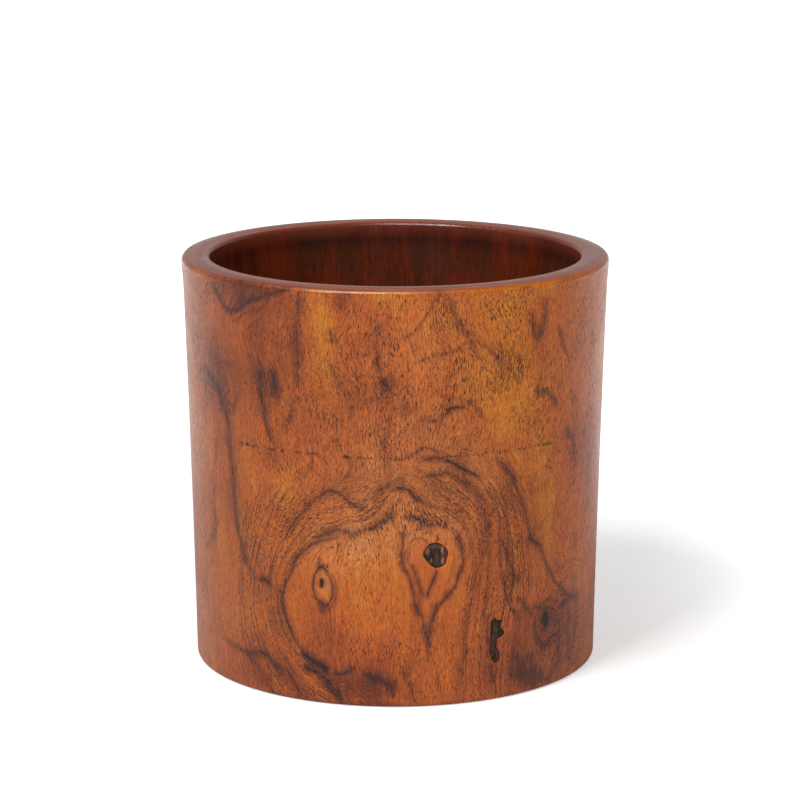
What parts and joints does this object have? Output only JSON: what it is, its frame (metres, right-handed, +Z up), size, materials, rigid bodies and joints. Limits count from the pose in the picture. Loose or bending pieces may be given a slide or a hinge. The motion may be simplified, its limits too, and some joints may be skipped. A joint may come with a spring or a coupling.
{
  "type": "brush pot",
  "caption": "Turned hardwood brush pot: a slightly tapered cylindrical cup with a rounded lip, a plugged base, a recessed foot and filled knots, for holding brushes upright.",
  "frame": {"origin": "centre of the flat foot ring, in the plane that the pot stands on", "axes": "+Z up along the pot's turned axis; -Y towards the side with the large filled knot; +X to that side's right"},
  "size_m": [0.184, 0.184, 0.177],
  "materials": {
    "figured_rosewood": "hand-polished wax over orange-brown rosewood with darker figure, knots and short open pores",
    "plug_rosewood": "duller brown rosewood, end grain",
    "dark_filler": "brown-black lacquer putty, rubbed flush and faintly glossy"
  },
  "bodies": {
    "root": {"pot_body": "figured_rosewood", "base_plug": "plug_rosewood", "knot_filling": "dark_filler", "bark_pocket_filling": "dark_filler"}
  },
  "joints": []
}
